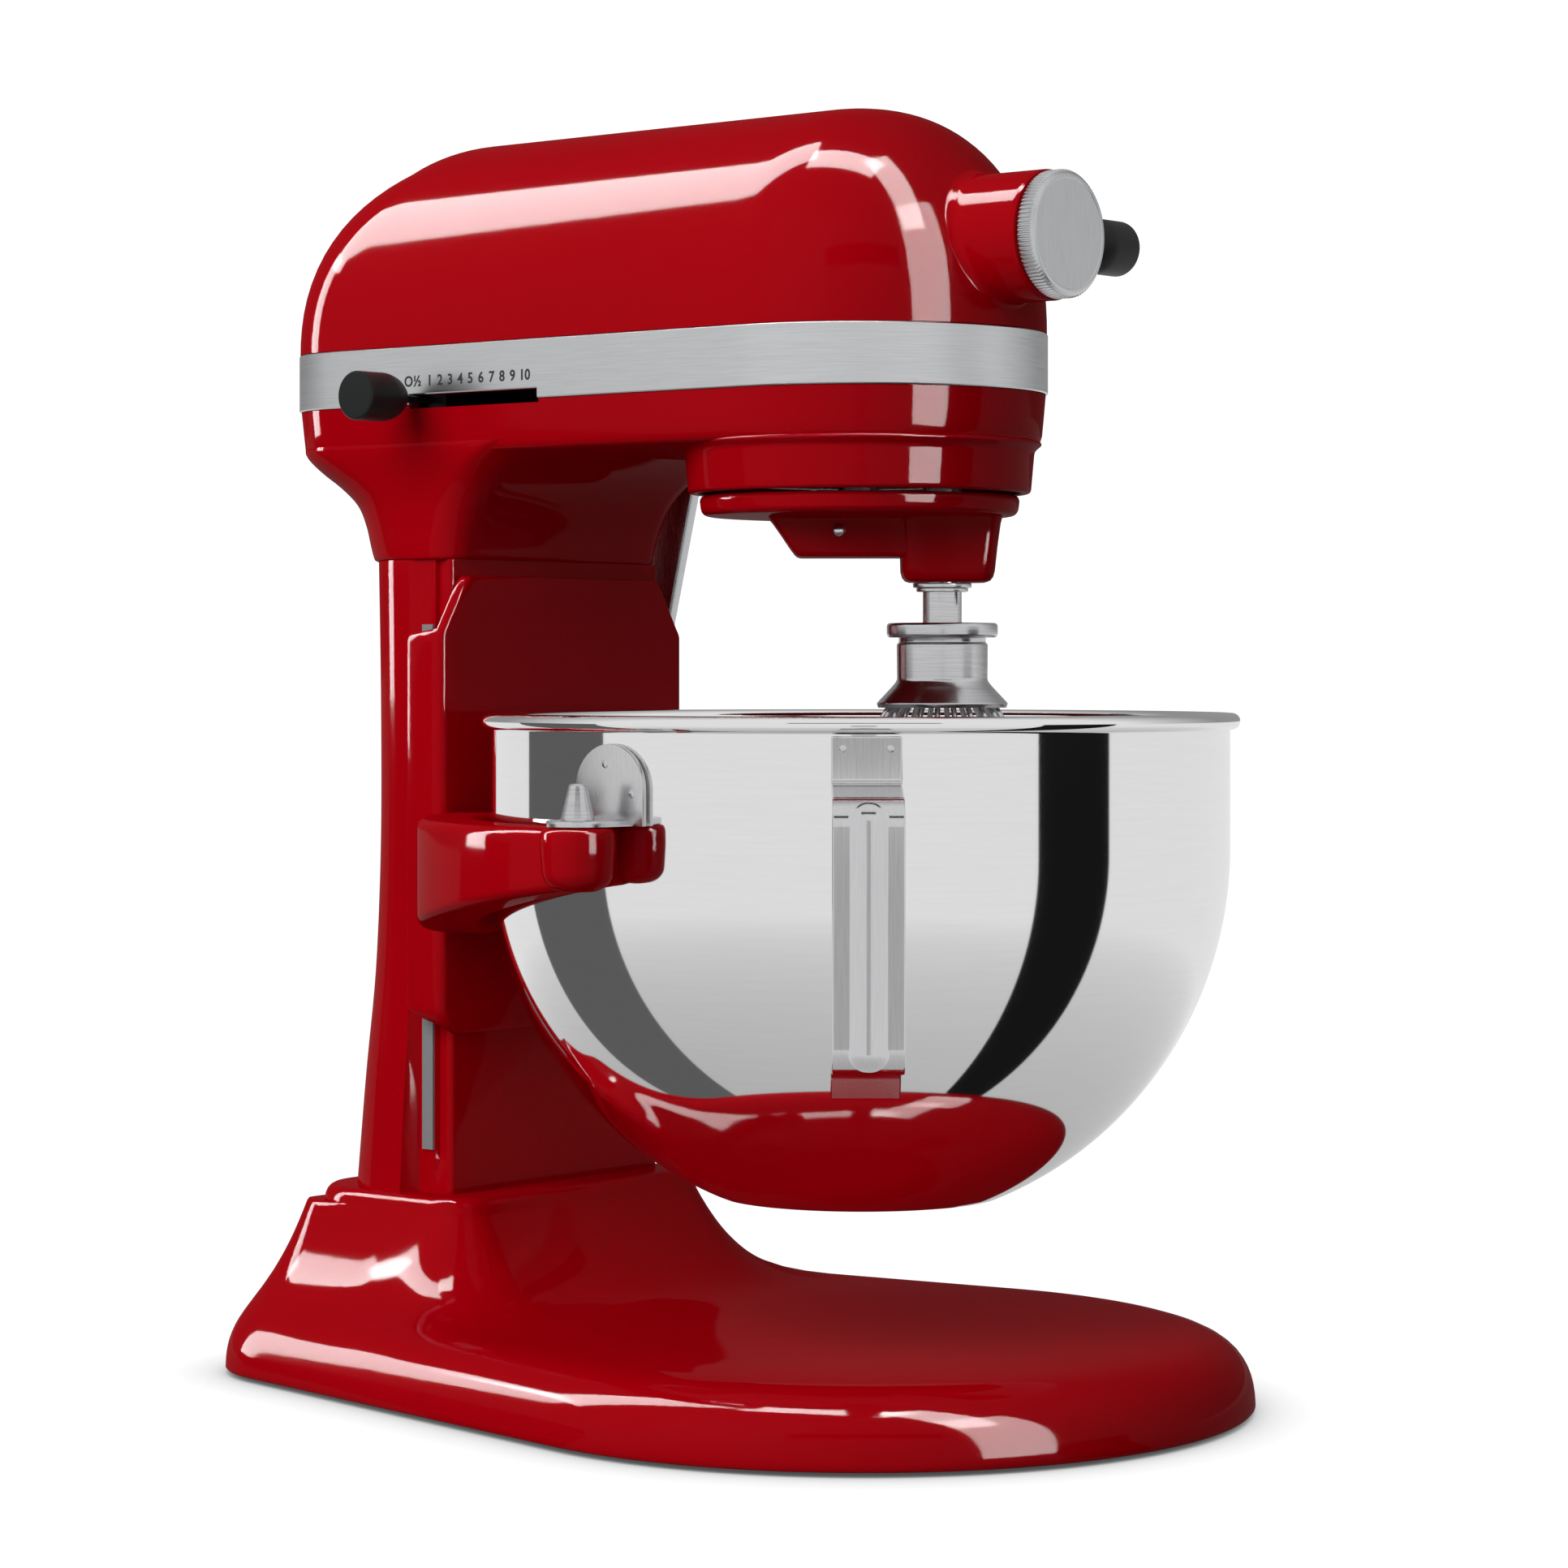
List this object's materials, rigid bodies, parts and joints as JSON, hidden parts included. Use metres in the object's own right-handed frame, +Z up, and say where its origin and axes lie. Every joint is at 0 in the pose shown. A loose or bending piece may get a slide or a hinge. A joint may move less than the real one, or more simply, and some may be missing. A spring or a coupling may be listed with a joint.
{
  "type": "stand mixer",
  "caption": "Bowl-lift stand mixer: geared head over a steel bowl held by a yoke that a side lever raises and lowers on the column.",
  "frame": {"origin": "on the table, under the middle of the base's footprint", "axes": "+Z up, the attachment hub and the bowl's front face -Y, the lift lever is on +X and the speed lever on -X"},
  "size_m": [0.292, 0.3442, 0.4172],
  "materials": {
    "red_enamel": "gloss",
    "trim": "brushed",
    "cap": "brushed",
    "bowl_steel": "polished",
    "steel": "brushed",
    "dark_steel": "machined",
    "bronze": "machined",
    "copper": "wound",
    "black_plastic": "matte",
    "nylon": "moulded",
    "rubber": "matte",
    "board": "laminate",
    "zinc": "cast"
  },
  "bodies": {
    "stand": {"base": "red_enamel", "base_plate": "dark_steel", "feet": "rubber", "column": "red_enamel", "column_bolts": "dark_steel", "neck_screws": "dark_steel", "guide_strips": "steel", "inlet_bushing": "black_plastic", "lower_housing": "red_enamel", "upper_housing": "red_enamel", "trim_band": "trim", "ring_gear": "dark_steel", "centre_bushing": "bronze", "stator": "dark_steel", "motor_bells": "zinc", "motor_bearings": "bronze", "motor_brushes": "bronze", "motor_cradle": "zinc", "gear_bracket": "zinc", "control_board": "board", "hub_bushing": "bronze", "lift_bushing": "bronze"},
    "planetary": {"planetary": "red_enamel", "planetary_pin": "steel", "centre_shaft": "steel", "centre_bevel_gear": "dark_steel", "beater_bushing": "bronze"},
    "beater": {"planet_pinion": "dark_steel", "beater_shaft": "steel", "beater_pin": "steel", "beater_washers": "steel", "whip_hub": "steel", "whip_wires": "steel"},
    "layshaft": {"layshaft": "steel", "lay_pinion": "dark_steel", "lay_wheel": "nylon"},
    "armature": {"motor_pinion": "dark_steel", "motor_shaft": "steel", "armature": "dark_steel", "commutator": "copper", "motor_fan": "black_plastic"},
    "hub_drive": {"hub_shaft": "steel", "hub_pinion": "dark_steel"},
    "hub_cap": {"hub_cap": "cap"},
    "attachment_knob": {"attachment_screw": "steel", "attachment_knob": "black_plastic"},
    "speed_lever": {"speed_arm": "black_plastic", "speed_knob": "black_plastic"},
    "bowl_support": {"bowl_support": "red_enamel", "locating_pins": "steel", "bowl_latch": "steel"},
    "bowl": {"bowl": "bowl_steel", "bowl_handle": "bowl_steel", "bowl_brackets": "steel", "bowl_latch_pin": "steel"},
    "lift_lever": {"lift_shaft": "steel", "lift_crank": "dark_steel", "crank_roller": "nylon", "lift_lever": "steel", "lift_knob": "black_plastic"}
  },
  "joints": [
    {"name": "planetary_spin", "type": "hinge", "parent": "stand", "child": "planetary", "pos_m": [0, -0.045, 0.3], "axis": [0, 0, 1], "continuous": true},
    {"name": "beater_spin", "type": "hinge", "parent": "planetary", "child": "beater", "pos_m": [0.01696, -0.06558, 0.28], "axis": [0, 0, 1], "continuous": true},
    {"name": "layshaft_spin", "type": "hinge", "parent": "stand", "child": "layshaft", "pos_m": [0, 0, 0.3722], "axis": [0, 1, 0], "continuous": true},
    {"name": "armature_spin", "type": "hinge", "parent": "stand", "child": "armature", "pos_m": [0, 0.05, 0.3502], "axis": [0, 1, 0], "continuous": true},
    {"name": "hub_spin", "type": "hinge", "parent": "stand", "child": "hub_drive", "pos_m": [0, -0.09, 0.3722], "axis": [0, 1, 0], "continuous": true},
    {"name": "hub_cap_pull", "type": "slide", "parent": "stand", "child": "hub_cap", "axis": [0, -1, 0], "range_m": [0, 0.03]},
    {"name": "attachment_knob_turn", "type": "hinge", "parent": "stand", "child": "attachment_knob", "pos_m": [0.04, -0.111, 0.3722], "axis": [1, 0, 0], "range_deg": [0, 720]},
    {"name": "speed_lever_slide", "type": "slide", "parent": "stand", "child": "speed_lever", "axis": [0, -1, 0], "range_m": [0, 0.05]},
    {"name": "bowl_lift", "type": "hinge", "parent": "stand", "child": "lift_lever", "pos_m": [0.05, 0.1065, 0.232], "axis": [-1, 0, 0], "range_deg": [0, 115]},
    {"name": "support_slide", "type": "slide", "parent": "stand", "child": "bowl_support", "axis": [0, 0, -1], "range_m": [0, 0.0451]},
    {"name": "bowl_take_off", "type": "slide", "parent": "bowl_support", "child": "bowl", "axis": [0, 0, 1], "range_m": [0, 0.014]}
  ],
  "couplings": [
    {"joint": "beater_spin", "follows": "planetary_spin", "ratio": -4},
    {"joint": "layshaft_spin", "follows": "planetary_spin", "ratio": 2.5},
    {"joint": "armature_spin", "follows": "planetary_spin", "ratio": -8.5},
    {"joint": "hub_spin", "follows": "planetary_spin", "ratio": -2.5},
    {"joint": "support_slide", "follows": "bowl_lift", "m_per_rad": 0.02242}
  ]
}
